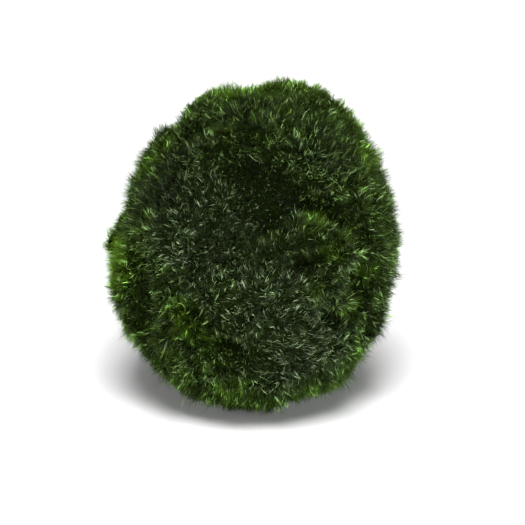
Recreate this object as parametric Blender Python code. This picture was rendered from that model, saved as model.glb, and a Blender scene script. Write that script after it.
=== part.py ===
"""Marimo moss ball: one grown ball of green alga that rests on a small flat spot.

The solid is the ball's outer form, out to the tips of its tufts. Lengths are in metres and +Z is up.
The origin is on the surface that the ball rests on, under the middle of the ball.
"""

import math
import random
from collections import namedtuple

import bmesh
import bpy
from mathutils import Vector, noise
from mathutils.geometry import intersect_point_line

MM = 0.001

# The ball without its lumps and tufts. Its lower half is blunter than an ellipse, as it sags a little.
HALF_WIDTH = 23.6 * MM
HALF_DEPTH = 23.2 * MM
HALF_HEIGHT = 27.0 * MM
LOWER_BLUNTNESS = 2.04  # exponent of the lower half's outline, where 2 is an ellipse
PRESSED_FLAT = 1.5 * MM  # height that the ball's own weight takes off its underside

# The grid that carries the form: an icosphere's triangles, about 1.9 mm long on each side
ICO_SUBDIVISIONS = 5
GRID_JITTER = 0.011  # of the radius, by which its corners are moved about, so that no rows show
JITTER_SEED = 3

# Forms are placed on the ball as it looks from the front and this far above the horizon.
VIEW_LIFT = math.radians(18)

# A form runs from start to end, both (right, up) from the ball's middle, and fades out at its reach.
# Its rise is positive for a mound or a lip and negative for a hollow, a cleft or a notch.
Form = namedtuple("Form", "name start end reach rise")

FRONT_FORMS = (
    # Outline, clockwise from the top
    Form("crown_notch", (-0.6, 29), (-0.6, 27), 3.6, -1.6),
    Form("crown_tuft", (1.4, 29), (1.4, 28), 2.4, 0.8),
    Form("crown_mound", (-4, 27), (16, 22), 11, 1.6),
    Form("upper_right_swell", (8, 27.5), (14.5, 23.5), 7.5, 2.5),
    Form("right_shoulder_knob", (20.8, 17.4), (22.8, 11.5), 4.2, 1.6),
    Form("right_flank", (24, 0), (23.5, -6), 6, 0.9),
    Form("lower_right_slope", (23, -12), (20.5, -16.5), 5, -0.6),
    Form("lower_right_bulge", (11, -24), (7, -25.5), 10, 0.4),
    Form("under_front", (-7, -27.5), (5, -28), 8, -1.0),
    Form("lower_left_foot", (-17, -21), (-10, -27), 5, -0.7),
    Form("lower_left_slope", (-22.5, -12), (-17.5, -19.5), 6.5, -1.6),
    Form("left_lobe", (-22, -8), (-23, -3), 8, 0.9),
    Form("left_wisp", (-25, 1.9), (-24, 2.0), 3.0, 1.7),
    Form("left_cheek", (-23.5, 7), (-23.5, 4), 4.5, 0.6),
    Form("upper_left_corner", (-21, 15), (-22, 10), 6, -0.5),
    Form("upper_left_slope", (-15, 18), (-22, 7), 16, -1.6),
    Form("upper_left_swell", (-13, 22), (-18, 17), 6.5, 1.2),
    Form("crown_left", (-8.5, 27), (-13, 22), 6, 0.9),
    # Hollows and clefts of the front, from the top down
    Form("brow_valley", (-10.5, 19.5), (-7.5, 21), 4.2, -2.0),
    Form("centre_hollow", (-1.5, 14.5), (2.0, 6.0), 6.8, -3.6),
    Form("upper_right_cleft", (5.2, 12.5), (8.4, 8.2), 4.0, -3.0),
    Form("right_diagonal_cleft", (12.4, 7.6), (17.5, 3.6), 4.4, -3.4),
    Form("middle_undercut", (7.4, -2.0), (12.2, -0.9), 3.8, -2.8),
    Form("middle_ledge", (6.6, -4.6), (13.2, -3.8), 3.0, 1.0),
    Form("right_hollow", (17.6, -4.4), (18.4, -6.0), 4.8, -2.6),
    Form("lower_right_cleft", (12.2, -10.4), (16.2, -11.4), 3.4, -2.7),
    Form("right_foot_hollow", (19.0, -12.4), (18.6, -14.2), 3.8, -2.2),
    Form("lower_pit", (-6.6, -15.2), (-3.2, -16.2), 3.4, -2.8),
    Form("left_cleft", (-19.0, -1.6), (-17.6, -10.4), 4.2, -3.6),
    Form("heart_pit", (-4.6, -1.2), (-2.6, -2.2), 3.8, -2.0),
    Form("left_heart_cleft", (-10.4, -8.6), (-8.6, -11.6), 3.6, -2.0),
    # Mounds of the front
    Form("pressed_mound", (6.0, -11.0), (13.0, -14.5), 8.5, 1.3),
    Form("cheek_mound", (-12.5, 2.8), (-9.5, 0.6), 6.5, 1.2),
    Form("heart_mound", (-5.0, -5.6), (1.5, -5.0), 6.0, 1.0),
    Form("right_mound", (12.6, 2.4), (14.6, 0.6), 4.6, 1.0),
    Form("foot_mound", (-4.0, -20.0), (5.0, -21.0), 6.0, 0.7),
)

# Where the filaments lie matted down on the front, so no tufts stand: places as above, and a radius
MATTED_PATCHES = (
    ((9.4, -13.2), 8.2),
    ((-11.8, 1.8), 5.2),
    ((-4.6, -5.4), 5.4),
    ((1.2, -18.6), 5.6),
    ((-8.0, -19.6), 3.0),
)

# The back and sides, which repeat the front's kinds of form at random
BACK_SEED = 41
BACK_MOUNDS, BACK_MOUND_REACH, BACK_MOUND_RISE = 15, (5.0, 9.0), (0.7, 1.5)
BACK_CLEFTS, BACK_CLEFT_REACH, BACK_CLEFT_RISE = 19, (3.0, 5.0), (-2.7, -1.4)
BACK_CLEFT_LENGTH = (2.0, 8.0)
BACK_MATTED, BACK_MATTED_RADIUS = 6, (4.0, 7.0)
BACK_TRIES = 12  # places tried for each form of the back, of which the loneliest is taken
FRONT_EDGE = 0.15  # share of a direction that points to the viewer, under which the back begins

SHORTEST_LINE = 0.001 * MM  # a form whose line is shorter than this is round

# Small lumps all over
LUMP_SIZE = 4.2 * MM
LUMP_RISE = 0.45 * MM

# Tufts: each is a small leaning peak on one triangle of the grid
TUFT_SEED = 7
TUFT_COUNT = 1500
TUFT_RISE = (0.8 * MM, 1.9 * MM)
TUFT_LEAN = 0.55 * MM
TUFT_DROOP = 0.2 * MM
TUFT_IN_MATTED = 0.1  # share of a matted patch's triangles that may still carry one
TUFT_LOWEST_RISE = -2.2 * MM  # hollows deeper than this hold none
TUFT_FLOOR_GAP = 1.6 * MM  # no tuft grows lower than this
TIP_FLOOR_GAP = 0.5 * MM  # and no tip hangs lower than this

SHARP_ANGLE = math.radians(40)  # edges that turn by more than this look sharp

MOSS_GREEN = (0.022, 0.05, 0.008, 1)
MOSS_ROUGHNESS = 0.85

VIEW_UP = Vector((0, math.sin(VIEW_LIFT), math.cos(VIEW_LIFT)))
VIEW_BACK = Vector((0, -math.cos(VIEW_LIFT), math.sin(VIEW_LIFT)))


def clear_scene():
    for thing in list(bpy.data.objects):
        bpy.data.objects.remove(thing, do_unlink=True)


def new_collection(name):
    made = bpy.data.collections.new(name)
    bpy.context.scene.collection.children.link(made)
    return made


def moss_material():
    made = bpy.data.materials.new("moss")
    made.use_nodes = True
    shader = made.node_tree.nodes["Principled BSDF"]
    shader.inputs["Base Color"].default_value = MOSS_GREEN
    shader.inputs["Roughness"].default_value = MOSS_ROUGHNESS
    shader.inputs["Metallic"].default_value = 0
    made.diffuse_color = MOSS_GREEN
    return made


def on_plain_ball(direction):
    """The point of the ball without lumps that lies this way from its middle."""
    across = math.hypot(direction.x / HALF_WIDTH, direction.y / HALF_DEPTH)
    upward = abs(direction.z) / HALF_HEIGHT
    power = LOWER_BLUNTNESS if direction.z < 0 else 2
    return direction / (across**power + upward**power) ** (1 / power)


def outward(point):
    """The way out of the plain ball at one of its points."""
    return Vector((point.x / HALF_WIDTH**2, point.y / HALF_DEPTH**2, point.z / HALF_HEIGHT**2)).normalized()


def on_front(place):
    """The point of the plain ball that shows at (right, up) millimetres from its middle, from the front."""
    right, up = place[0] * MM, place[1] * MM
    across = (right / HALF_WIDTH) ** 2 + (up / HALF_HEIGHT) ** 2
    near = HALF_DEPTH * math.sqrt(max(0, 1 - across))
    return on_plain_ball(Vector((right, 0, 0)) + VIEW_UP * up + VIEW_BACK * near)


def random_direction(chance):
    """A direction with no preference, from three bell-curve numbers."""
    return Vector([chance.gauss(0, 1) for _ in range(3)]).normalized()


def back_point(chance):
    """A random point of the plain ball that the front doesn't show."""
    while True:
        way = random_direction(chance)
        if way.dot(VIEW_BACK) < FRONT_EDGE:
            return on_plain_ball(way)


def spread_back_points(chance, count):
    """Random points of the back, each the loneliest of several tries, so that they spread out."""
    points = []
    for _ in range(count):
        tries = [back_point(chance) for _ in range(BACK_TRIES)]
        points.append(max(tries, key=lambda p: min([(p - q).length for q in points], default=1)))
    return points


def all_forms():
    """Every mound and cleft as (start, end, reach, rise), in metres."""
    made = [
        (on_front(form.start), on_front(form.end), form.reach * MM, form.rise * MM) for form in FRONT_FORMS
    ]
    chance = random.Random(BACK_SEED)
    for start in spread_back_points(chance, BACK_MOUNDS):
        reach = chance.uniform(*BACK_MOUND_REACH) * MM
        made.append((start, start, reach, chance.uniform(*BACK_MOUND_RISE) * MM))
    for start in spread_back_points(chance, BACK_CLEFTS):
        length = chance.uniform(*BACK_CLEFT_LENGTH) * MM
        end = on_plain_ball(start + length * random_direction(chance))
        reach = chance.uniform(*BACK_CLEFT_REACH) * MM
        made.append((start, end, reach, chance.uniform(*BACK_CLEFT_RISE) * MM))
    return made


def matted_patches():
    """Every matted patch as (middle, radius), in metres."""
    made = [(on_front(place), radius * MM) for place, radius in MATTED_PATCHES]
    chance = random.Random(BACK_SEED + 1)
    for middle in spread_back_points(chance, BACK_MATTED):
        made.append((middle, chance.uniform(*BACK_MATTED_RADIUS) * MM))
    return made


def rise_at(point, forms):
    """How far the ball's surface stands out from the plain ball at this point of it."""
    total = LUMP_RISE * noise.noise(point / LUMP_SIZE)
    for start, end, reach, rise in forms:
        nearest = start
        if (end - start).length > SHORTEST_LINE:
            nearest, share = intersect_point_line(point, start, end)
            nearest = start.lerp(end, min(1, max(0, share)))
        share = (point - nearest).length / reach
        if share < 1:
            total += rise * (1 - share * share) ** 2
    return total


def form_ball(bm):
    """Turns the unit sphere into the lumpy ball, pressed flat beneath. Returns its floor and hollow corners."""
    forms = all_forms()
    chance = random.Random(JITTER_SEED)
    floor = PRESSED_FLAT - HALF_HEIGHT
    hollow = set()
    for vertex in bm.verts:
        plain = on_plain_ball((vertex.co + GRID_JITTER * random_direction(chance)).normalized())
        rise = rise_at(plain, forms)
        if rise < TUFT_LOWEST_RISE:
            hollow.add(vertex)
        vertex.co = plain + outward(plain) * rise
        vertex.co.z = max(vertex.co.z, floor)
    return floor, hollow


def choose_tuft_faces(bm, floor, hollow):
    """Random triangles that share no edge: few in the matted patches, none in hollows or near the floor."""
    chance = random.Random(TUFT_SEED)
    patches = matted_patches()
    bm.faces.ensure_lookup_table()
    order = list(bm.faces)
    chance.shuffle(order)
    chosen = set()
    for face in order:
        middle = face.calc_center_median()
        matted = any((middle - centre).length < radius for centre, radius in patches)
        if matted and chance.random() > TUFT_IN_MATTED:
            continue
        if hollow.intersection(face.verts):
            continue
        if min(vertex.co.z for vertex in face.verts) < floor + TUFT_FLOOR_GAP:
            continue
        neighbours = {other for edge in face.edges for other in edge.link_faces}
        if chosen & neighbours:
            continue
        chosen.add(face)
        if len(chosen) == TUFT_COUNT:
            break
    return [face for face in order if face in chosen]


def raise_tufts(bm, floor, hollow):
    """Gives each chosen triangle a peak that leans its own way and droops a little."""
    chance = random.Random(TUFT_SEED + 1)
    for face in choose_tuft_faces(bm, floor, hollow):
        out = face.normal.copy()
        peak = bmesh.ops.poke(bm, faces=[face])["verts"][0]
        lean = random_direction(chance)
        lean -= out * lean.dot(out)
        peak.co += out * chance.uniform(*TUFT_RISE) + lean * TUFT_LEAN
        peak.co.z = max(peak.co.z - TUFT_DROOP, floor + TIP_FLOOR_GAP)


def stand_on_origin(bm, floor):
    """Sets the flat spot at z = 0, and the middle of the ball's width and depth over the origin."""
    lowest = Vector([min(vertex.co[axis] for vertex in bm.verts) for axis in range(3)])
    highest = Vector([max(vertex.co[axis] for vertex in bm.verts) for axis in range(3)])
    middle = (lowest + highest) / 2
    bmesh.ops.translate(bm, verts=bm.verts, vec=(-middle.x, -middle.y, -floor))


def moss_ball():
    bpy.ops.mesh.primitive_ico_sphere_add(subdivisions=ICO_SUBDIVISIONS, radius=1)
    ball = bpy.context.object
    ball.name = ball.data.name = "moss_ball"
    bm = bmesh.new()
    bm.from_mesh(ball.data)
    floor, hollow = form_ball(bm)
    bm.normal_update()
    raise_tufts(bm, floor, hollow)
    stand_on_origin(bm, floor)
    bm.to_mesh(ball.data)
    bm.free()
    ball.data.shade_smooth()
    ball.data.set_sharp_from_angle(angle=SHARP_ANGLE)
    ball.data.materials.append(moss_material())
    return ball


def main():
    clear_scene()
    ball = moss_ball()
    for owner in list(ball.users_collection):
        owner.objects.unlink(ball)
    new_collection("marimo_moss_ball").objects.link(ball)


if __name__ == "__main__":
    main()
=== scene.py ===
# %% [markdown]
# # A marimo moss ball
# A marimo is one ball of green alga: tens of thousands of fine wet filaments that grew from a matted
# middle. We keep the solid from the parts library as the frame, and dress it with a felted mat and five
# coats of filaments, all of them real mesh. The photo shows the ball from a little above.

# %% Load the frame
import math
import random
from collections import namedtuple

import bmesh
import bpy
import numpy as np
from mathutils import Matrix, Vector, noise
from mathutils.geometry import intersect_point_line


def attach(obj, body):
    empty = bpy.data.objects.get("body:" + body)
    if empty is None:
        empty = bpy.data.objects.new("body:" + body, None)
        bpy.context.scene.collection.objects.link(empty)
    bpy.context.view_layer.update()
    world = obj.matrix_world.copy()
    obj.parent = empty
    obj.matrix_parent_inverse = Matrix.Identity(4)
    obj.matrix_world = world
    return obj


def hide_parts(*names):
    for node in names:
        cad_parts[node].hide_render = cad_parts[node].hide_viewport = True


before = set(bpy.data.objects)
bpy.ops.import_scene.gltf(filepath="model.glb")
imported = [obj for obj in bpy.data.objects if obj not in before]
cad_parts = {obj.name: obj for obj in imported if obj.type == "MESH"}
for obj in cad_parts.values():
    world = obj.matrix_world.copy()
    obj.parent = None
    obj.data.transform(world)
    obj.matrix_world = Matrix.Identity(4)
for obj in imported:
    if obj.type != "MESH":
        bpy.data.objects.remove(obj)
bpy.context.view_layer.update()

MM = 0.001

# %% [markdown]
# ## The ball's form
# The real ball is a rounded egg, blunter below, with mounds, clefts and flattened patches. One could
# sculpt it by hand, but here every mound and hollow is a named line in a table: where it starts and ends
# as seen from the front, in millimetres from the middle, how far it reaches, and how far it rises. The
# solid was made by the same rule, so the filaments sit exactly on it.

# %% The plain ball
HALF_WIDTH, HALF_DEPTH, HALF_HEIGHT = 23.6 * MM, 23.2 * MM, 27.0 * MM
LOWER_BLUNTNESS = 2.04
PRESSED_FLAT = 1.5 * MM
MIDDLE = Vector((-0.325, 0.204, 25.5)) * MM  # of the ball, in the solid's own frame
VIEW_LIFT = math.radians(18)
VIEW_UP = Vector((0, math.sin(VIEW_LIFT), math.cos(VIEW_LIFT)))
VIEW_BACK = Vector((0, -math.cos(VIEW_LIFT), math.sin(VIEW_LIFT)))


def on_plain_ball(direction):
    """The point of the ball without lumps that lies this way from its middle."""
    across = math.hypot(direction.x / HALF_WIDTH, direction.y / HALF_DEPTH)
    upward = abs(direction.z) / HALF_HEIGHT
    power = LOWER_BLUNTNESS if direction.z < 0 else 2
    return direction / (across**power + upward**power) ** (1 / power)


def outward(point):
    """The way out of the plain ball at one of its points."""
    return Vector((point.x / HALF_WIDTH**2, point.y / HALF_DEPTH**2, point.z / HALF_HEIGHT**2)).normalized()


def on_front(place):
    """The point of the plain ball that shows at (right, up) millimetres from its middle, from the front."""
    right, up = place[0] * MM, place[1] * MM
    across = (right / HALF_WIDTH) ** 2 + (up / HALF_HEIGHT) ** 2
    near = HALF_DEPTH * math.sqrt(max(0, 1 - across))
    return on_plain_ball(Vector((right, 0, 0)) + VIEW_UP * up + VIEW_BACK * near)


# %% The mounds and hollows of the front
Form = namedtuple("Form", "name start end reach rise")
OUTLINE_FORMS = (
    Form("crown_notch", (-0.6, 29), (-0.6, 27), 3.6, -1.6),
    Form("crown_tuft", (1.4, 29), (1.4, 28), 2.4, 0.8),
    Form("crown_left", (-8.5, 27), (-13, 22), 6, 0.9),
    Form("crown_mound", (-4, 27), (16, 22), 11, 1.6),
    Form("upper_right_swell", (8, 27.5), (14.5, 23.5), 7.5, 2.5),
    Form("right_shoulder_knob", (20.8, 17.4), (22.8, 11.5), 4.2, 1.6),
    Form("right_flank", (24, 0), (23.5, -6), 6, 0.9),
    Form("lower_right_bulge", (11, -24), (7, -25.5), 10, 0.4),
    Form("lower_right_slope", (23, -12), (20.5, -16.5), 5, -0.6),
    Form("lower_left_foot", (-17, -21), (-10, -27), 5, -0.7),
    Form("lower_left_slope", (-22.5, -12), (-17.5, -19.5), 6.5, -1.6),
    Form("left_lobe", (-22, -8), (-23, -3), 8, 0.9),
    Form("left_wisp", (-25, 1.9), (-24, 2.0), 3.0, 1.7),
    Form("left_cheek", (-23.5, 7), (-23.5, 4), 4.5, 0.6),
    Form("upper_left_slope", (-15, 18), (-22, 7), 16, -1.6),
    Form("upper_left_swell", (-13, 22), (-18, 17), 6.5, 1.2),
    Form("upper_left_corner", (-21, 15), (-22, 10), 6, -0.5),
    Form("under_front", (-7, -27.5), (5, -28), 8, -1.0),
    Form("pressed_mound", (6.0, -11.0), (13.0, -14.5), 8.5, 1.3),
    Form("cheek_mound", (-12.5, 2.8), (-9.5, 0.6), 6.5, 1.2),
    Form("heart_mound", (-5.0, -5.6), (1.5, -5.0), 6.0, 1.0),
    Form("right_mound", (12.6, 2.4), (14.6, 0.6), 4.6, 1.0),
    Form("foot_mound", (-4.0, -20.0), (5.0, -21.0), 6.0, 0.7),
    Form("middle_ledge", (6.6, -4.6), (13.2, -3.8), 3.0, 1.0),
)
HOLLOW_FORMS = (
    Form("brow_valley", (-10.5, 19.5), (-7.5, 21), 4.2, -2.0),
    Form("centre_hollow", (-1.5, 14.5), (2.0, 6.0), 6.8, -3.6),
    Form("upper_right_cleft", (5.2, 12.5), (8.4, 8.2), 4.0, -3.0),
    Form("right_diagonal_cleft", (12.4, 7.6), (17.5, 3.6), 4.4, -3.4),
    Form("middle_undercut", (7.4, -2.0), (12.2, -0.9), 3.8, -2.8),
    Form("right_hollow", (17.6, -4.4), (18.4, -6.0), 4.8, -2.6),
    Form("lower_right_cleft", (12.2, -10.4), (16.2, -11.4), 3.4, -2.7),
    Form("right_foot_hollow", (19.0, -12.4), (18.6, -14.2), 3.8, -2.2),
    Form("lower_pit", (-6.6, -15.2), (-3.2, -16.2), 3.4, -2.8),
    Form("left_cleft", (-19.0, -1.6), (-17.6, -10.4), 4.2, -3.6),
    Form("heart_pit", (-4.6, -1.2), (-2.6, -2.2), 3.8, -2.0),
    Form("left_heart_cleft", (-10.4, -8.6), (-8.6, -11.6), 3.6, -2.0),
)

# %% The back and sides repeat the front's kinds of form at random
BACK_SEED, FRONT_EDGE = 41, 0.15
BACK_MOUNDS, BACK_MOUND_REACH, BACK_MOUND_RISE = 15, (5.0, 9.0), (0.7, 1.5)
BACK_CLEFTS, BACK_CLEFT_REACH, BACK_CLEFT_RISE = 19, (3.0, 5.0), (-2.7, -1.4)
BACK_CLEFT_LENGTH = (2.0, 8.0)
BACK_MATTED, BACK_MATTED_RADIUS = 6, (4.0, 7.0)


def random_direction(chance):
    """A direction with no preference, from three bell-curve numbers."""
    return Vector([chance.gauss(0, 1) for _ in range(3)]).normalized()


def back_point(chance):
    """A random point of the plain ball that the front doesn't show."""
    while True:
        way = random_direction(chance)
        if way.dot(VIEW_BACK) < FRONT_EDGE:
            return on_plain_ball(way)


def spread_back_points(chance, count):
    """Random points of the back, each the loneliest of several tries, so that they spread out."""
    points = []
    for _ in range(count):
        tries = [back_point(chance) for _ in range(12)]
        points.append(max(tries, key=lambda p: min([(p - q).length for q in points], default=1)))
    return points


def placed(forms):
    return [(on_front(f.start), on_front(f.end), f.reach * MM, f.rise * MM) for f in forms]


mounds, hollows = placed(OUTLINE_FORMS), placed(HOLLOW_FORMS)
chance = random.Random(BACK_SEED)
for start in spread_back_points(chance, BACK_MOUNDS):
    reach = chance.uniform(*BACK_MOUND_REACH) * MM
    mounds.append((start, start, reach, chance.uniform(*BACK_MOUND_RISE) * MM))
for start in spread_back_points(chance, BACK_CLEFTS):
    length = chance.uniform(*BACK_CLEFT_LENGTH) * MM
    end = on_plain_ball(start + length * random_direction(chance))
    reach = chance.uniform(*BACK_CLEFT_REACH) * MM
    hollows.append((start, end, reach, chance.uniform(*BACK_CLEFT_RISE) * MM))
print(len(mounds), "mounds and", len(hollows), "hollows")

# %% [markdown]
# ## How the filaments lie
# On the real ball the filaments stand up in small tufts on most of it, but water and handling have combed some
# patches flat. Where the wet filaments lie side by side they shine grey, and that shine is painted into their colour
# as a grey sheen. We write each combed patch as a stroke of a brush: a place, a reach, the angle of the comb as seen
# from the front, and how flat the filaments lie. Three more tables give fresh growth, which is a lighter
# yellow-green, darker patches of painted shade, and a thin grey film that also carries the painted grey sheen. The
# back gets patches of each at random, from a fixed seed. A ring of the yellow-green along the outline seen from the
# front is a painted glow at the rim.

# %% Combed strokes and fresh growth
Stroke = namedtuple("Stroke", "place reach angle flat")
STROKES = (
    Stroke((10.5, -14.0), 10.5, 12, 1.0),
    Stroke((2.5, -17.5), 8.0, -8, 0.85),
    Stroke((-3.5, -6.5), 8.0, 40, 0.8),
    Stroke((-4.0, -13.0), 6.0, 15, 0.6),
    Stroke((6.0, -7.5), 6.0, 24, 0.85),
    Stroke((-11.8, 2.0), 6.5, 172, 0.55),
    Stroke((-12.0, -7.0), 5.5, 60, 0.4),
    Stroke((-8.5, -20.0), 6.0, -30, 0.45),
    Stroke((0.5, 10.0), 7.5, -92, 0.6),
    Stroke((9.5, 15.0), 8.0, -72, 0.45),
    Stroke((-8.0, 13.5), 8.0, -115, 0.4),
    Stroke((17.0, 6.5), 6.5, -60, 0.4),
    Stroke((15.5, -2.0), 5.0, -40, 0.5),
)
FRESH = (
    ((-23.0, -1.0), 9.0, 1.0),
    ((-21.0, -12.0), 6.5, 1.0),
    ((-12.5, -23.0), 6.0, 0.9),
    ((-5.0, -23.5), 5.0, 0.5),
    ((-13.0, 23.5), 5.0, 0.7),
    ((-12.6, -8.4), 3.4, 0.6),
    ((-9.8, -13.0), 3.0, 0.5),
    ((10.2, 5.6), 3.4, 0.8),
    ((12.8, 0.0), 3.4, 0.6),
    ((-16.5, 16.5), 6.0, 0.6),
    ((-2.0, 26.5), 8.0, 0.6),
    ((18.5, 15.5), 5.0, 0.5),
    ((10.0, -6.0), 2.6, 0.5),
    ((17.0, -9.0), 3.0, 0.5),
    ((9.5, -22.5), 4.5, 0.5),
    ((-1.5, -21.5), 2.2, 0.6),
)
# Painted shade: patches painted darker, placed as seen from the front.
PAINTED_SHADE = (
    ((3.0, 11.5), 12.0, 0.45),
    ((-5.0, 7.0), 7.0, 0.35),
    ((-20.0, 7.0), 6.0, 0.35),
    ((-13.0, 13.0), 16.0, 0.65),
    ((13.0, 17.0), 13.0, 0.45),
    ((-8.0, 2.0), 8.0, 0.3),
    ((-2.0, 23.0), 9.0, 0.35),
    ((-17.5, -7.0), 5.0, 0.4),
    ((20.0, -13.0), 9.0, 0.3),
    ((3.0, -3.0), 6.0, 0.2),
)
# A thin grey film, together with the wet sheen of the combed middle painted as grey.
FILM_AND_SHEEN = (
    ((-6.0, 3.0), 15.0, 0.8),
    ((2.0, 8.0), 11.0, 0.7),
    ((4.0, -8.0), 15.0, 0.9),
    ((8.0, -17.0), 12.0, 0.9),
)
BACK_STROKES, BACK_FRESH, BACK_PAINTED_SHADE, BACK_FILM_AND_SHEEN = 12, 10, 6, 7
RIM_GLOW_PATCHES, RIM_GLOW_REACH, RIM_GLOW_SHARE = 20, 6.5 * MM, 0.7

strokes = []
for stroke in STROKES:
    angle = math.radians(stroke.angle)
    way = Vector((1, 0, 0)) * math.cos(angle) + VIEW_UP * math.sin(angle)
    strokes.append((on_front(stroke.place), stroke.reach * MM, way, stroke.flat))
chance = random.Random(BACK_SEED + 1)
back_matted = [(p, chance.uniform(*BACK_MATTED_RADIUS)) for p in spread_back_points(chance, BACK_MATTED)]
for middle, radius in back_matted:
    strokes.append((middle, 1.4 * radius * MM, random_direction(chance), 0.9))
for middle in spread_back_points(chance, BACK_STROKES):
    strokes.append((middle, chance.uniform(5, 8) * MM, random_direction(chance), chance.uniform(0.3, 0.6)))
fresh_and_rim_glow_patches = [(on_front(place), reach * MM, share) for place, reach, share in FRESH]
# A ring of painted rim glow: the yellow-green of fresh growth along the outline seen from the front.
for turn in range(RIM_GLOW_PATCHES):
    angle = math.tau * turn / RIM_GLOW_PATCHES
    place = (25 * math.cos(angle), 28 * math.sin(angle))
    fresh_and_rim_glow_patches.append((on_front(place), RIM_GLOW_REACH, RIM_GLOW_SHARE))
for middle in spread_back_points(chance, BACK_FRESH):
    fresh_and_rim_glow_patches.append((middle, chance.uniform(3, 7) * MM, chance.uniform(0.4, 0.9)))
painted_shade_patches = [(on_front(place), reach * MM, share) for place, reach, share in PAINTED_SHADE]
# The back gets patches of painted shade at random.
for middle in spread_back_points(chance, BACK_PAINTED_SHADE):
    painted_shade_patches.append((middle, chance.uniform(6, 11) * MM, chance.uniform(0.3, 0.6)))
film_and_sheen_patches = [(on_front(place), reach * MM, share) for place, reach, share in FILM_AND_SHEEN]
for middle in spread_back_points(chance, BACK_FILM_AND_SHEEN):
    film_and_sheen_patches.append((middle, chance.uniform(8, 14) * MM, chance.uniform(0.6, 0.9)))
# The count of fresh patches includes the ring of painted rim glow.
print(len(strokes), "combed strokes and", len(fresh_and_rim_glow_patches), "patches of fresh growth")

# %% [markdown]
# ## The mat
# Under the filaments is the felt that they grew into. It is an icosphere whose corners we push out by the rule above,
# less the height of the pile. The same loop writes what the filaments need to know as named attributes on the mesh:
# the comb's direction and how flat it lies, the pile's height, the depth of the hollow, the share of fresh growth and
# of the painted glow at the rim, the share of painted shade, which also darkens the underside near the floor, and the
# share of grey film and painted sheen. An attribute travels with the mesh into Geometry Nodes and into the shader.
# Blender's vector noise starts from the clock until it is given a seed, so we give it one, and the comb is the same
# in every run.

# %% Measure the form at every corner of the mat
MAT_SUBDIVISIONS = 6
PILE_DEPTH = 0.15 * MM
LUMP_SIZE, LUMP_RISE = 4.2 * MM, 0.45 * MM
FINE_LUMP_SIZE, FINE_LUMP_RISE = 1.5 * MM, 0.35 * MM
HOLLOW_GAIN = 1.4
DEEP_FROM, DEEP_TO = 0.9 * MM, 2.6 * MM
PILE_AT_FLOOR, FLOOR_REACH = 0.35, 5.0 * MM
FLOW_SIZE, FLOW_STRENGTH = 6.0 * MM, 0.8
WAVE_SIZE, WAVE_STRENGTH = 1.8 * MM, 0.9
COMB_SEED = 41
UPWARD = 0.9
UNDER_SHADE_REACH = 5.0 * MM


def fade(distance, reach):
    """1 in the middle, falling smoothly to 0 at the reach."""
    share = distance / reach
    return (1 - share * share) ** 2 if share < 1 else 0.0


def distance_to(point, start, end):
    if (end - start).length < 1e-6:
        return (point - start).length
    nearest, share = intersect_point_line(point, start, end)
    return (point - start.lerp(end, min(1, max(0, share)))).length


def form_at(point):
    """(rise of the mounds, rise of the hollows) at a point of the plain ball."""
    mound = sum(rise * fade(distance_to(point, start, end), reach) for start, end, reach, rise in mounds)
    hollow = sum(rise * fade(distance_to(point, start, end), reach) for start, end, reach, rise in hollows)
    return mound + LUMP_RISE * noise.noise(point / LUMP_SIZE), hollow


def comb_at(point, out):
    """The comb's direction along the surface, as long as the filaments lie flat."""
    drift = noise.noise_vector(point / FLOW_SIZE) * FLOW_STRENGTH
    flow, flat = drift, 0.0
    for middle, reach, way, strength in strokes:
        share = strength * fade((point - middle).length, reach)
        flow = flow * (1 - share) + way * share
        flat = max(flat, share)
    flow += noise.noise_vector(point / WAVE_SIZE) * WAVE_STRENGTH
    flow.z += UPWARD * (1 - flat) * point.z / HALF_HEIGHT
    return flow - out * flow.dot(out), flat


noise.seed_set(COMB_SEED)
mat_mesh = bpy.data.meshes.new("moss_mat")
shape = bmesh.new()
bmesh.ops.create_icosphere(shape, subdivisions=MAT_SUBDIVISIONS, radius=1)
floor = PRESSED_FLAT - HALF_HEIGHT
facts = {name: [] for name in ("comb", "flat", "pile", "deep", "fresh", "old", "silt")}
for corner in shape.verts:
    plain = on_plain_ball(corner.co.normalized())
    out = outward(plain)
    mound, hollow = form_at(plain)
    comb, flat = comb_at(plain, out)
    deep = min(1, max(0, (-hollow - DEEP_FROM) / (DEEP_TO - DEEP_FROM)))
    rise = mound + hollow * HOLLOW_GAIN - PILE_DEPTH
    rise += FINE_LUMP_RISE * noise.noise(plain / FINE_LUMP_SIZE)
    place = plain + out * rise
    place.z = max(place.z, floor + 0.15 * MM)
    corner.co = place + MIDDLE
    patchy = noise.noise(plain / (3.0 * MM))
    facts["comb"].append(comb)
    facts["flat"].append(flat)
    facts["deep"].append(deep)
    trodden = PILE_AT_FLOOR * max(0, 1 - (place.z - floor) / FLOOR_REACH)
    facts["pile"].append((1 - 0.45 * deep - 0.3 * flat + 0.3 * patchy) * (1 - trodden))
    facts["fresh"].append(max([share * fade((plain - m).length, r) for m, r, share in fresh_and_rim_glow_patches]))
    facts["silt"].append(max([share * fade((plain - m).length, r) for m, r, share in film_and_sheen_patches]))
    # Painted shade: the shade patches, and darker on the underside within reach of the floor.
    shade_patch = max([share * fade((plain - m).length, r) for m, r, share in painted_shade_patches])
    facts["old"].append(max(shade_patch, 0.85 * fade(max(0, place.z - floor - 1.0 * MM), UNDER_SHADE_REACH)))
shape.to_mesh(mat_mesh)
shape.free()
mat_mesh.shade_smooth()
for name, values in facts.items():
    kind = "FLOAT_VECTOR" if name == "comb" else "FLOAT"
    attribute = mat_mesh.attributes.new(name, kind, "POINT")
    attribute.data.foreach_set("vector" if name == "comb" else "value", np.array(values).ravel())
mat = bpy.data.objects.new("moss_mat", mat_mesh)
bpy.context.scene.collection.objects.link(mat)
mat_area = sum(face.area for face in mat_mesh.polygons)
print("mat:", len(mat_mesh.polygons), "faces,", round(mat_area / MM**2), "mm2")

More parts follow.
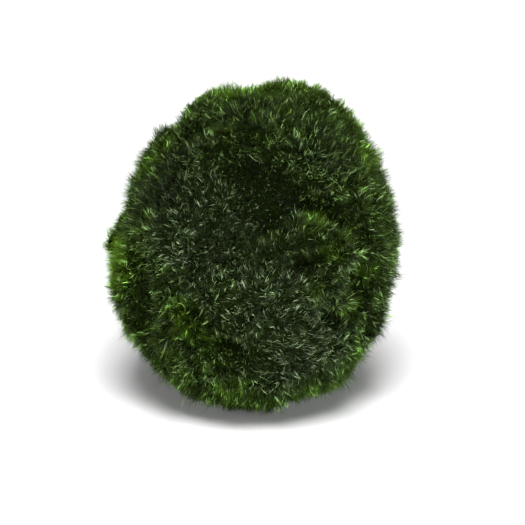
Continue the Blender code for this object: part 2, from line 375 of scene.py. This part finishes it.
# %% [markdown]
# ## Nodes written as sums
# Both the filaments' shape and their colour are sums over positions and attributes. A small class wraps a
# node's socket, so that an expression such as `root + way * along` adds the Math nodes by itself.


# %% A socket that can be used in sums
def find_socket(sockets, name):
    """The socket with this number, or the first one in use with this name."""
    if isinstance(name, int):
        return sockets[name]
    return next(s for s in sockets if s.name == name and s.enabled)


class Wire:
    """A node's output, which adds Math nodes when it is used in a sum."""

    def __init__(self, tree, socket):
        self.tree, self.socket = tree, socket

    def is_vector(self):
        return self.socket.type == "VECTOR"

    def _sum(self, operation, first, second=None):
        vector = any(isinstance(value, Wire) and value.is_vector() for value in (first, second))
        vector = vector or any(isinstance(value, (tuple, Vector)) for value in (first, second))
        kind = "ShaderNodeVectorMath" if vector else "ShaderNodeMath"
        inputs = {0: first}
        if second is not None:
            inputs[1] = second
        if vector:
            inputs = {key: (value,) * 3 if isinstance(value, (int, float)) else value
                      for key, value in inputs.items()}
        return node(self.tree, kind, {"operation": operation}, inputs)[0]

    def __add__(self, other):
        return self._sum("ADD", self, other)

    def __sub__(self, other):
        return self._sum("SUBTRACT", self, other)

    def __rsub__(self, other):
        return self._sum("SUBTRACT", other, self)

    def __mul__(self, other):
        return self._sum("MULTIPLY", self, other)

    def __truediv__(self, other):
        return self._sum("DIVIDE", self, other)

    __radd__, __rmul__ = __add__, __mul__

    def at_least(self, other):
        return self._sum("MAXIMUM", self, other)

    def at_most(self, other):
        return self._sum("MINIMUM", self, other)

    def cross(self, other):
        return self._sum("CROSS_PRODUCT", self, other)

    def unit(self):
        return self._sum("NORMALIZE", self)


def node(tree, kind, settings=None, inputs=None):
    """Adds a node: its settings first, then the values or links of its sockets. Gives its outputs as wires."""
    made = tree.nodes.new(kind)
    for name, value in (settings or {}).items():
        if name == "stops":
            ramp = made.color_ramp
            while len(ramp.elements) < len(value):
                ramp.elements.new(1)
            for element, (position, colour) in zip(ramp.elements, value):
                element.position, element.color = position, (*colour, 1)
        else:
            setattr(made, name, value)
    for name, value in (inputs or {}).items():
        socket = find_socket(made.inputs, name)
        if isinstance(value, Wire):
            tree.links.new(value.socket, socket)
        else:
            socket.default_value = value
    return Outputs(tree, made)


class Outputs:
    """A node's outputs, by name or number."""

    def __init__(self, tree, made):
        self.tree, self.made = tree, made

    def __getitem__(self, name):
        return Wire(self.tree, find_socket(self.made.outputs, name))


# %% [markdown]
# ## One filament
# A filament is a thin thread that tapers to a point. It repeats many thousands of times, so it has very
# few faces: three sides, and one or two rings of corners where it can bend. The shortest ones are plain
# spikes. The others are pointed at their root too, because the root is hidden in the felt. Its corners carry
# how far along the filament they are. A UV map gives it a square, which the coat later shrinks into one
# small cell of the whole coat's map, so that every filament has a place of its own for its colours. Its
# three sides are the same colours, so they share the cell.


# %% The filaments that the coats repeat
def make_filament(name, heights):
    """A closed three-sided thread along Z, one unit long, with a ring of corners at each of the heights."""
    mesh = bpy.data.meshes.new(name)
    shape = bmesh.new()
    cell = shape.loops.layers.uv.new("OFBake")
    circles = []
    for height in heights:
        angles = [math.tau * side / 3 for side in range(3)]
        circles.append([shape.verts.new((math.cos(a), math.sin(a), height)) for a in angles])
    tip = shape.verts.new((0, 0, 1))
    root = shape.verts.new((0, 0, 0)) if heights[0] > 0 else None

    def add_face(corners, places):
        for loop, place in zip(shape.faces.new(corners).loops, places):
            loop[cell].uv = place

    for side in range(3):
        after = (side + 1) % 3
        for level, (lower, upper) in enumerate(zip(circles, circles[1:])):
            low, high = heights[level], heights[level + 1]
            corners = (lower[side], lower[after], upper[after], upper[side])
            add_face(corners, ((0, low), (1, low), (1, high), (0, high)))
        add_face((circles[-1][side], circles[-1][after], tip), ((0, heights[-1]), (1, heights[-1]), (0.5, 1)))
        if root:
            places = ((1, heights[0]), (0, heights[0]), (0.5, 0))
            add_face((circles[0][after], circles[0][side], root), places)
    if not root:
        add_face(reversed(circles[0]), ((0, 0), (1, 0), (0.5, 0.02)))
    shape.to_mesh(mesh)
    shape.free()
    places = np.empty(len(mesh.vertices) * 3)
    mesh.vertices.foreach_get("co", places)
    mesh.attributes.new("thread", "FLOAT_VECTOR", "POINT").data.foreach_set("vector", places)
    thread = bpy.data.objects.new(name, mesh)
    bpy.context.scene.collection.objects.link(thread)
    return thread


spike = make_filament("spike", (0,))
arched_thread = make_filament("arched_thread", (0.45,))
bent_thread = make_filament("bent_thread", (0.3, 0.66))
threads = (spike, arched_thread, bent_thread)
for thread in threads:
    print(thread.name, "has", sum(len(face.vertices) - 2 for face in thread.data.polygons), "triangles")

# %% [markdown]
# ## A coat of filaments
# Filaments could be combed by hand as hair curves, but hair is lost in an export, and a rule can be
# repeated. Geometry Nodes scatter points on the mat, find each point's nearest tuft, and stand a filament
# on it. The filament follows a bent path: out of the mat, along the comb, and over to its tuft's tip.

# %% The coat's node tree
COAT_INPUTS = (
    ("Mat", "NodeSocketGeometry", None),
    ("Thread", "NodeSocketObject", None),
    ("Finish", "NodeSocketMaterial", None),
    ("Density", "NodeSocketFloat", 1e6),
    ("Length", "NodeSocketFloat", 2.4 * MM),
    ("Thickness", "NodeSocketFloat", 0.1 * MM),
    ("Tuft Spacing", "NodeSocketFloat", 1.6 * MM),
    ("Tuft Lean", "NodeSocketFloat", 0.5),
    ("Gather", "NodeSocketFloat", 0.6),
    ("Stray", "NodeSocketFloat", 0.35),
    ("Curl", "NodeSocketFloat", 0.5),
    ("Dive", "NodeSocketFloat", 0.35),
    ("Combed", "NodeSocketFloat", 1.0),
    ("Lying", "NodeSocketFloat", 0.35),
    ("Sparse In Hollows", "NodeSocketFloat", 0.3),
    ("Seed", "NodeSocketInt", 0),
)
FLOOR_GAP = 0.06 * MM


def make_coat_tree():
    tree = bpy.data.node_groups.new("filament_coat", "GeometryNodeTree")
    for name, kind, value in COAT_INPUTS:
        made = tree.interface.new_socket(name, in_out="INPUT", socket_type=kind)
        if value is not None:
            made.default_value = value
    tree.interface.new_socket("Coat", in_out="OUTPUT", socket_type="NodeSocketGeometry")
    given = node(tree, "NodeGroupInput")

    def attribute(name, kind="FLOAT"):
        return node(tree, "GeometryNodeInputNamedAttribute", {"data_type": kind}, {"Name": name})["Attribute"]

    def store(geometry, name, value, kind="FLOAT", domain="POINT"):
        settings = {"data_type": kind, "domain": domain}
        inputs = {"Geometry": geometry, "Name": name, "Value": value}
        return node(tree, "GeometryNodeStoreNamedAttribute", settings, inputs)["Geometry"]

    def random_vector(seed):
        inputs = {"Min": (-1, -1, -1), "Max": (1, 1, 1), "Seed": given["Seed"] + seed}
        return node(tree, "FunctionNodeRandomValue", {"data_type": "FLOAT_VECTOR"}, inputs)["Value"]

    def random_number(low, high, seed):
        inputs = {"Min": low, "Max": high, "Seed": given["Seed"] + seed}
        return node(tree, "FunctionNodeRandomValue", {"data_type": "FLOAT"}, inputs)["Value"]

    place = node(tree, "GeometryNodeInputPosition")["Position"]
    comb, flat = attribute("comb", "FLOAT_VECTOR"), attribute("flat")
    pile, deep = attribute("pile"), attribute("deep")

    def way_out(out, lean):
        """The way a filament leaves the mat: upright, but laid along the comb where that is flat."""
        laid = flat * given["Combed"]
        return (out * (1 - laid * 0.82) + comb * (given["Lying"] + laid) + lean).unit()

    # Tufts: their tips are what the filaments gather to
    settings = {"distribute_method": "POISSON"}
    inputs = {"Mesh": given["Mat"], "Distance Min": given["Tuft Spacing"], "Density Max": 4e6,
              "Seed": given["Seed"] + 1}
    scattered = node(tree, "GeometryNodeDistributePointsOnFaces", settings, inputs)
    lean = random_vector(2) * given["Tuft Lean"]
    size = pile * random_number(0.7, 1.3, 3)
    tip = place + way_out(scattered["Normal"], lean) * (size * given["Length"])
    tufts = store(scattered["Points"], "tuft_tip", tip, "FLOAT_VECTOR")
    tufts = store(tufts, "tuft_lean", lean, "FLOAT_VECTOR")
    tufts = store(tufts, "tuft_size", size)
    tufts = store(tufts, "tuft_tint", random_number(0.0, 1.0, 4))

    # Roots, each with what it takes from its nearest tuft
    density = given["Density"] * (1 - deep * given["Sparse In Hollows"])
    inputs = {"Mesh": given["Mat"], "Density": density, "Seed": given["Seed"] + 5}
    scattered = node(tree, "GeometryNodeDistributePointsOnFaces", {}, inputs)
    roots = scattered["Points"]
    nearest = node(tree, "GeometryNodeSampleNearest", {}, {"Geometry": tufts, "Sample Position": place})[0]

    def from_tuft(name, kind="FLOAT"):
        inputs = {"Geometry": tufts, "Value": attribute(name, kind), "Index": nearest}
        return node(tree, "GeometryNodeSampleIndex", {"data_type": kind}, inputs)["Value"]

    lean = from_tuft("tuft_lean", "FLOAT_VECTOR") + random_vector(6) * given["Stray"]
    way = way_out(scattered["Normal"], lean)
    length = from_tuft("tuft_size") * random_number(0.75, 1.15, 7) * given["Length"]
    gather = (from_tuft("tuft_tip", "FLOAT_VECTOR") - (place + way * length)) * given["Gather"]
    bend = gather + random_vector(8) * (length * given["Curl"])
    bend = bend - scattered["Normal"] * (length * flat * given["Dive"])
    tint = random_number(0.0, 1.0, 11)
    side = way.cross(random_vector(9)).unit() * (given["Thickness"] * (tint * 0.2 + 0.85) * (1 - flat * 0.25))
    roots = store(roots, "root", place, "FLOAT_VECTOR")
    roots = store(roots, "reach", way * length, "FLOAT_VECTOR")
    roots = store(roots, "bend", bend, "FLOAT_VECTOR")
    roots = store(roots, "side_a", side, "FLOAT_VECTOR")
    roots = store(roots, "side_b", way.cross(side), "FLOAT_VECTOR")
    roots = store(roots, "tuft_tint", from_tuft("tuft_tint"))
    roots = store(roots, "tint", tint)
    roots = store(roots, "number", node(tree, "GeometryNodeInputIndex")[0])

    # One thread on each root, made real and bent along its path
    thread = node(tree, "GeometryNodeObjectInfo", {}, {"Object": given["Thread"]})["Geometry"]
    threads = node(tree, "GeometryNodeInstanceOnPoints", {}, {"Points": roots, "Instance": thread})[0]
    threads = node(tree, "GeometryNodeRealizeInstances", {}, {"Geometry": threads})[0]
    local = node(tree, "ShaderNodeSeparateXYZ", {}, {0: attribute("thread", "FLOAT_VECTOR")})
    along = local["Z"]
    path = attribute("reach", "FLOAT_VECTOR") * along + attribute("bend", "FLOAT_VECTOR") * (along * along)
    around = attribute("side_a", "FLOAT_VECTOR") * local["X"] + attribute("side_b", "FLOAT_VECTOR") * local["Y"]
    bent = attribute("root", "FLOAT_VECTOR") + path + around * (1 - along * along)
    split = node(tree, "ShaderNodeSeparateXYZ", {}, {0: bent})
    above = {"X": split["X"], "Y": split["Y"], "Z": split["Z"].at_least(FLOOR_GAP)}
    bent = node(tree, "ShaderNodeCombineXYZ", {}, above)[0]
    threads = node(tree, "GeometryNodeSetPosition", {}, {"Geometry": threads, "Position": bent})[0]
    threads = store(threads, "along", along)

    # Each filament's own cell of the coat's map
    count = node(tree, "GeometryNodeAttributeDomainSize", {"component": "POINTCLOUD"},
                 {"Geometry": roots})["Point Count"]
    cells = node(tree, "ShaderNodeMath", {"operation": "SQRT"}, {0: count})[0]
    cells = node(tree, "ShaderNodeMath", {"operation": "CEIL"}, {0: cells})[0]
    number = attribute("number")
    row = node(tree, "ShaderNodeMath", {"operation": "FLOOR"}, {0: (number + 0.5) / cells})[0]
    column = number - row * cells
    cell = node(tree, "ShaderNodeCombineXYZ", {}, {"X": column, "Y": row})[0]
    square = attribute("OFBake", "FLOAT_VECTOR") * 0.94 + (0.03, 0.03, 0)
    threads = store(threads, "OFBake", (cell + square) / cells, "FLOAT2", "CORNER")
    for name in ("thread", "root", "reach", "bend", "side_a", "side_b", "number", "comb"):
        inputs = {"Geometry": threads, "Name": name}
        threads = node(tree, "GeometryNodeRemoveAttribute", {}, inputs)[0]
    threads = node(tree, "GeometryNodeSetShadeSmooth", {}, {"Geometry": threads})[0]
    threads = node(tree, "GeometryNodeSetMaterial", {}, {"Geometry": threads, "Material": given["Finish"]})[0]
    ends = tree.nodes.new("NodeGroupOutput")
    tree.links.new(threads.socket, ends.inputs["Coat"])
    return tree


coat_tree = make_coat_tree()
print("coat tree:", len(coat_tree.nodes), "nodes")

# %% [markdown]
# ## The finish of the moss
# A wet filament is clear and green: light goes through it, so it glows yellow-green against the light. We mix a
# glossy shader with a translucent one. Colour runs from root to tip, and differs from tuft to tuft and from filament
# to filament. Light and shade are also painted into the colour: painted shade makes each filament nearly black at its
# crowded root and darkens hollows, shaded patches and the underside; a painted glow lightens the rim; a painted grey
# sheen covers the combed patches; and painted glints brighten short specks of some filaments.


# %% Materials
def new_material(name, colour):
    made = bpy.data.materials.new(name)
    made.use_nodes = True
    made.node_tree.nodes.clear()
    made.diffuse_color = (*colour, 1)
    return made, made.node_tree


def attribute_in(tree, name):
    return node(tree, "ShaderNodeAttribute", {"attribute_name": name})["Fac"]


def mix_colours(tree, share, first, second, blend="MIX"):
    settings = {"data_type": "RGBA", "blend_type": blend}
    inputs = {"Factor": share, "A": first, "B": second}
    return node(tree, "ShaderNodeMix", settings, inputs)["Result"]


def scaled(tree, colour, amount):
    return node(tree, "ShaderNodeVectorMath", {"operation": "SCALE"}, {0: colour, "Scale": amount})[0]


def filament_material(name, stops, fresh_and_rim_glow_colour, gloss, glow, painted_glint_strength):
    made, tree = new_material(name, stops[-1][1])
    along, tint, tuft = (attribute_in(tree, a) for a in ("along", "tint", "tuft_tint"))
    deep, fresh, flat = (attribute_in(tree, a) for a in ("deep", "fresh", "flat"))
    old, silt = (attribute_in(tree, a) for a in ("old", "silt"))
    where = node(tree, "ShaderNodeTexCoord")["Object"]
    drift = node(tree, "ShaderNodeTexNoise", {}, {"Vector": where, "Scale": 210.0, "Detail": 2.0})[0]
    colour = node(tree, "ShaderNodeValToRGB", {"stops": stops}, {0: along})["Color"]
    share = (fresh * 1.2 + (drift - 0.5) * 1.2 + (tuft - 0.6) * 0.5).at_least(0.0).at_most(1.0) * (0.4 + along * 0.6)
    colour = mix_colours(tree, share, colour, (*fresh_and_rim_glow_colour, 1))
    # Painted glints: short specks of some filaments are painted bright and grey, more of them on combed patches and
    # fewer in hollows.
    painted_glint_specks = node(tree, "ShaderNodeTexNoise", {}, {"Vector": where + tint * 5.0, "Scale": 900.0, "Detail": 1.0})[0]
    painted_glint_share = ((tint - 0.8 + flat * 0.35 - deep * 0.05) / 0.15).at_least(0.0).at_most(1.0) * ((painted_glint_specks - 0.42 - silt * 0.06) * 9).at_least(0.0).at_most(1.0)
    # Painted grey: the film and the painted wet sheen, and the painted glints, mix in the grey colour.
    grey = (silt * 0.4 + painted_glint_share * (0.6 + silt * 0.2)).at_most(1.0) * (1 - fresh * 0.3)
    colour = mix_colours(tree, grey, colour, (*FILM_SHEEN_GLINT_GREY, 1))
    # Painted shade: the base brightness is darker in hollows, in the painted shade patches and on the underside;
    # fresh growth and the painted rim glow are lighter.
    plain = (0.3 + tint * 0.22 + fresh * 0.15) * (1 - deep * 0.75) * (1 - old)
    painted_glint = painted_glint_share * (painted_glint_strength - flat * (0.35 * painted_glint_strength)) * (1 - fresh * 0.4) * (1 - deep * 0.2) * (1 - old * old * 1.2)
    # Painted shade darker toward each filament's root, and painted light on combed patches and with the rim glow.
    bright = (plain + painted_glint) * (0.45 + drift + (tuft - 0.5) * 0.2) * (0.12 + along * 0.88) * (1 + flat * 0.3) * (1 + fresh * 0.5)
    colour = scaled(tree, colour, bright)
    rough = 0.24 + tuft * 0.12
    gloss_inputs = {"Base Color": colour, "Roughness": rough, "IOR": 1.4, "Specular IOR Level": gloss}
    skin = node(tree, "ShaderNodeBsdfPrincipled", {}, gloss_inputs)[0]
    through = node(tree, "ShaderNodeBsdfTranslucent", {}, {"Color": scaled(tree, colour, 2.0)})[0]
    mixed = node(tree, "ShaderNodeMixShader", {}, {0: along * glow, 1: skin, 2: through})[0]
    tree.links.new(mixed.socket, tree.nodes.new("ShaderNodeOutputMaterial").inputs["Surface"])
    return made


# The grey of the film and of the painted sheen and glints.
FILM_SHEEN_GLINT_GREY = (0.14, 0.175, 0.115)
# Dark at the root as painted shade, lighter toward the tip.
PILE_STOPS = ((0.0, (0.016, 0.034, 0.002)), (0.4, (0.06, 0.127, 0.006)), (1.0, (0.11, 0.215, 0.01)))
# The undercoat is painted darker still, as shade under the pile.
UNDER_STOPS = ((0.0, (0.008, 0.017, 0.001)), (0.5, (0.038, 0.078, 0.004)), (1.0, (0.067, 0.137, 0.006)))
# The yellow-green of fresh growth, also used for the painted rim glow.
FRESH_AND_RIM_GLOW_COLOUR = (0.2, 0.40, 0.01)
# The last number is the strength of the painted glints.
pile_finish = filament_material("moss_pile", PILE_STOPS, FRESH_AND_RIM_GLOW_COLOUR, 0.3, 0.5, 7.0)
spike_finish = filament_material("moss_spikes", PILE_STOPS, FRESH_AND_RIM_GLOW_COLOUR, 0.3, 0.5, 2.5)
under_finish = filament_material("moss_undercoat", UNDER_STOPS, FRESH_AND_RIM_GLOW_COLOUR, 0.1, 0.0, 1.5)

# The felt is painted near black, as shade under the pile.
mat_finish, tree = new_material("moss_felt", (0.012, 0.02, 0.006))
where = node(tree, "ShaderNodeTexCoord")["Object"]
fuzz = node(tree, "ShaderNodeTexNoise", {}, {"Vector": where, "Scale": 2600.0, "Detail": 6.0, "Roughness": 0.7})
felt = node(tree, "ShaderNodeValToRGB", {"stops": ((0.35, (0.001, 0.002, 0.0002)), (0.7, (0.007, 0.013, 0.002)))},
            {0: fuzz[0]})["Color"]
bumps = node(tree, "ShaderNodeBump", {}, {"Strength": 0.8, "Distance": 0.3 * MM, "Height": fuzz[0]})[0]
felt_inputs = {"Base Color": felt, "Roughness": 0.8, "Specular IOR Level": 0.0, "Normal": bumps}
skin = node(tree, "ShaderNodeBsdfPrincipled", {}, felt_inputs)[0]
tree.links.new(skin.socket, tree.nodes.new("ShaderNodeOutputMaterial").inputs["Surface"])
mat.data.materials.append(mat_finish)

# %% [markdown]
# ## The coats
# A short, dense coat, painted dark as shade under the pile, closes the felt. Spikes that gather to shared tips make
# the pointed tufts, two coats of fine curls lie among them and carry most of the painted wet glints, and a sparse
# last coat is longer.
# Coats with the same seed share their tufts.

# %% Grow the coats
Coat = namedtuple("Coat", "name thread finish count settings")
COATS = (
    Coat("undercoat", spike, under_finish, 48000,
         {"Length": 1.1 * MM, "Thickness": 0.11 * MM, "Stray": 0.8, "Gather": 0.1, "Seed": 100}),
    Coat("spiky_pile", spike, spike_finish, 48000,
         {"Length": 1.6 * MM, "Thickness": 0.058 * MM, "Stray": 0.35, "Gather": 0.8, "Seed": 200}),
    Coat("curls_inner", arched_thread, pile_finish, 32500,
         {"Length": 1.6 * MM, "Thickness": 0.036 * MM, "Stray": 0.8, "Gather": 0.15, "Curl": 0.6, "Lying": 1.0, "Seed": 300}),
    Coat("curls_outer", arched_thread, pile_finish, 32500,
         {"Length": 1.9 * MM, "Thickness": 0.036 * MM, "Stray": 0.7, "Gather": 0.3, "Curl": 0.6, "Lying": 0.7, "Seed": 200}),
    Coat("long_filaments", bent_thread, pile_finish, 16000,
         {"Length": 2.1 * MM, "Thickness": 0.055 * MM, "Stray": 0.45, "Gather": 0.65, "Curl": 0.3, "Seed": 200}),
)


def grow(coat):
    """A coat as a plain mesh object at the origin."""
    grower = mat.copy()
    bpy.context.scene.collection.objects.link(grower)
    modifier = grower.modifiers.new("coat", "NODES")
    modifier.node_group = coat_tree
    identifiers = {item.name: item.identifier for item in coat_tree.interface.items_tree}
    values = dict(coat.settings, Thread=coat.thread, Finish=coat.finish, Density=coat.count / mat_area)
    for name, value in values.items():
        modifier[identifiers[name]] = value
    bpy.context.view_layer.update()
    evaluated = grower.evaluated_get(bpy.context.evaluated_depsgraph_get())
    mesh = bpy.data.meshes.new_from_object(evaluated)
    mesh.name = coat.name
    bpy.data.objects.remove(grower)
    piece = bpy.data.objects.new(coat.name, mesh)
    bpy.context.scene.collection.objects.link(piece)
    triangles = sum(len(face.vertices) - 2 for face in mesh.polygons)
    print(coat.name, len(mesh.polygons), "faces,", triangles, "triangles")
    return piece


pieces = [mat] + [grow(coat) for coat in COATS]
for thread in threads:
    bpy.data.objects.remove(thread)

for piece in pieces:
    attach(piece, "root")
    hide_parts("moss_ball")

# %% [markdown]
# ## The studio
# The ball stands on a white floor. A soft light above and a little in front makes the shadow, a low one in
# front shows the filaments, and two at the sides, set a little behind, brighten the rim. The far part of the
# floor glows, so that the background is white and the shadow stays dark.

# %% Floor, lights and camera
bpy.ops.mesh.primitive_plane_add(size=4)
studio_floor = bpy.context.object
studio_floor.name = "studio_floor"
floor_finish, tree = new_material("studio_white", (0.9, 0.9, 0.9))
where = node(tree, "ShaderNodeSeparateXYZ", {}, {0: node(tree, "ShaderNodeTexCoord")["Object"]})
far_glow = node(tree, "ShaderNodeMapRange", {"interpolation_type": "SMOOTHSTEP"},
                {"Value": where["Y"], "From Min": 0.05, "From Max": 0.35, "To Min": 0.0, "To Max": 0.8})[0]
floor_inputs = {"Base Color": (0.92, 0.92, 0.92, 1), "Roughness": 0.9, "Emission Color": (1, 1, 1, 1),
                "Emission Strength": far_glow}
skin = node(tree, "ShaderNodeBsdfPrincipled", {}, floor_inputs)[0]
tree.links.new(skin.socket, tree.nodes.new("ShaderNodeOutputMaterial").inputs["Surface"])
studio_floor.data.materials.append(floor_finish)
studio_floor.visible_glossy = False

world = bpy.data.worlds.new("studio")
bpy.context.scene.world = world
world.use_nodes = True
tree = world.node_tree
tree.nodes.clear()
look = node(tree, "ShaderNodeTexCoord")["Generated"]
parts = node(tree, "ShaderNodeSeparateXYZ", {}, {0: look})
behind = node(tree, "ShaderNodeMapRange", {}, {"Value": parts["Y"] + parts["Z"] * 0.4, "From Min": -0.6,
                                               "From Max": 0.6, "To Min": 0.02, "To Max": 0.1})[0]
sky = node(tree, "ShaderNodeBackground", {}, {"Color": (1, 1, 1, 1), "Strength": behind})[0]
tree.links.new(sky.socket, tree.nodes.new("ShaderNodeOutputWorld").inputs["Surface"])

LIGHTS = (
    ("top_softbox", (0.0, -0.36, 0.66), (0, 0, 0.028), 0.32, 7.6),
    ("left_side", (-0.5, 0.15, 0.05), (0, 0, 0.028), 0.15, 1.5),
    ("right_side", (0.5, 0.15, 0.05), (0, 0, 0.028), 0.15, 1.5),
    ("front_key", (0.08, -0.85, 0.06), (0, 0, 0.028), 0.16, 9.0),
)
for name, position, target, size, power in LIGHTS:
    lamp = bpy.data.lights.new(name, "AREA")
    lamp.size, lamp.energy = size, power
    holder = bpy.data.objects.new(name, lamp)
    holder.location = position
    holder.rotation_euler = (Vector(target) - Vector(position)).to_track_quat("-Z", "Y").to_euler()
    bpy.context.scene.collection.objects.link(holder)

MM_PER_PIXEL, PIXELS, LENS, SENSOR = 0.172, 525, 120, 36
camera = bpy.data.cameras.new("camera")
camera.lens, camera.sensor_width = LENS, SENSOR
camera.shift_x, camera.shift_y = 11 / PIXELS, -18 / PIXELS
distance = MM_PER_PIXEL * PIXELS * MM * LENS / SENSOR
holder = bpy.data.objects.new("camera", camera)
holder.location = Vector((MIDDLE.x, 0, 27.4 * MM)) + VIEW_BACK * distance
holder.rotation_euler = (math.radians(90) - VIEW_LIFT, 0, 0)
camera.clip_start = 0.01
bpy.context.scene.collection.objects.link(holder)
bpy.context.scene.camera = holder
bpy.context.scene.view_settings.view_transform = "Standard"
print("camera distance in mm:", round(distance / MM))
